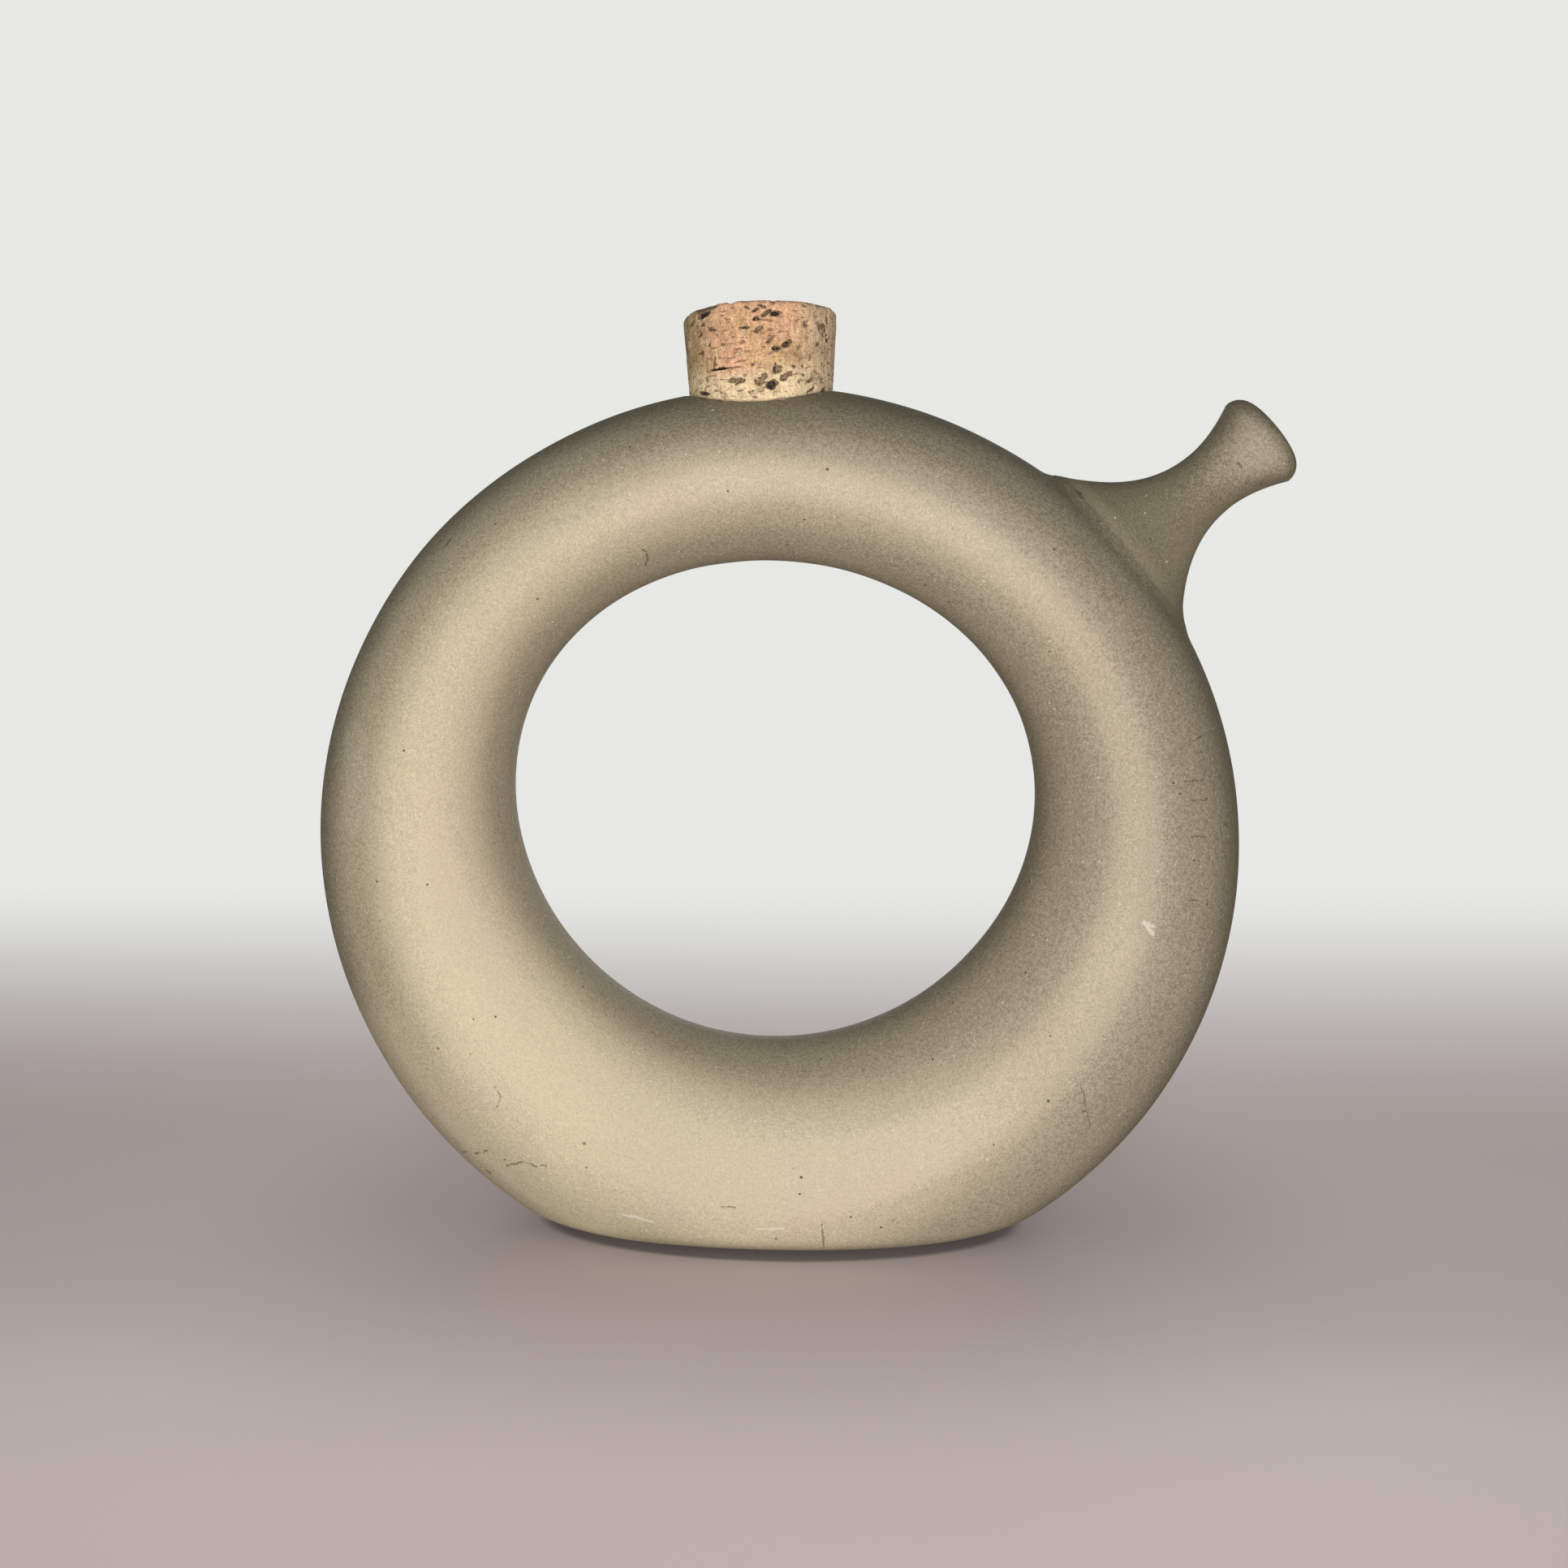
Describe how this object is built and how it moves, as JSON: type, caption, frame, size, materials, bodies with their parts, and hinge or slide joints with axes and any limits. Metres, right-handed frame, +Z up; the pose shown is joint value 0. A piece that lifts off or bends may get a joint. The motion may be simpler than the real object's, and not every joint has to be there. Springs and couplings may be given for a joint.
{
  "type": "ring vase",
  "caption": "Upright ring-shaped stoneware vase on a flattened base, with a flared pouring spout on its shoulder and a tapered cork stopper in its mouth.",
  "frame": {"origin": "centre of the flat base", "axes": "+Z up, the ring stands in the XZ plane with its front facing -Y, and the spout leans towards +X"},
  "size_m": [0.2309, 0.054, 0.2194],
  "materials": {
    "stoneware": "matte",
    "cork": "matte"
  },
  "bodies": {
    "vase": {"ring_front_half": "stoneware", "ring_back_half": "stoneware", "spout": "stoneware"},
    "stopper": {"cork_stopper": "cork"}
  },
  "joints": [
    {"name": "cork_lift", "type": "slide", "parent": "vase", "child": "stopper", "axis": [0, 0, 1], "range_m": [0, 0.05]}
  ]
}
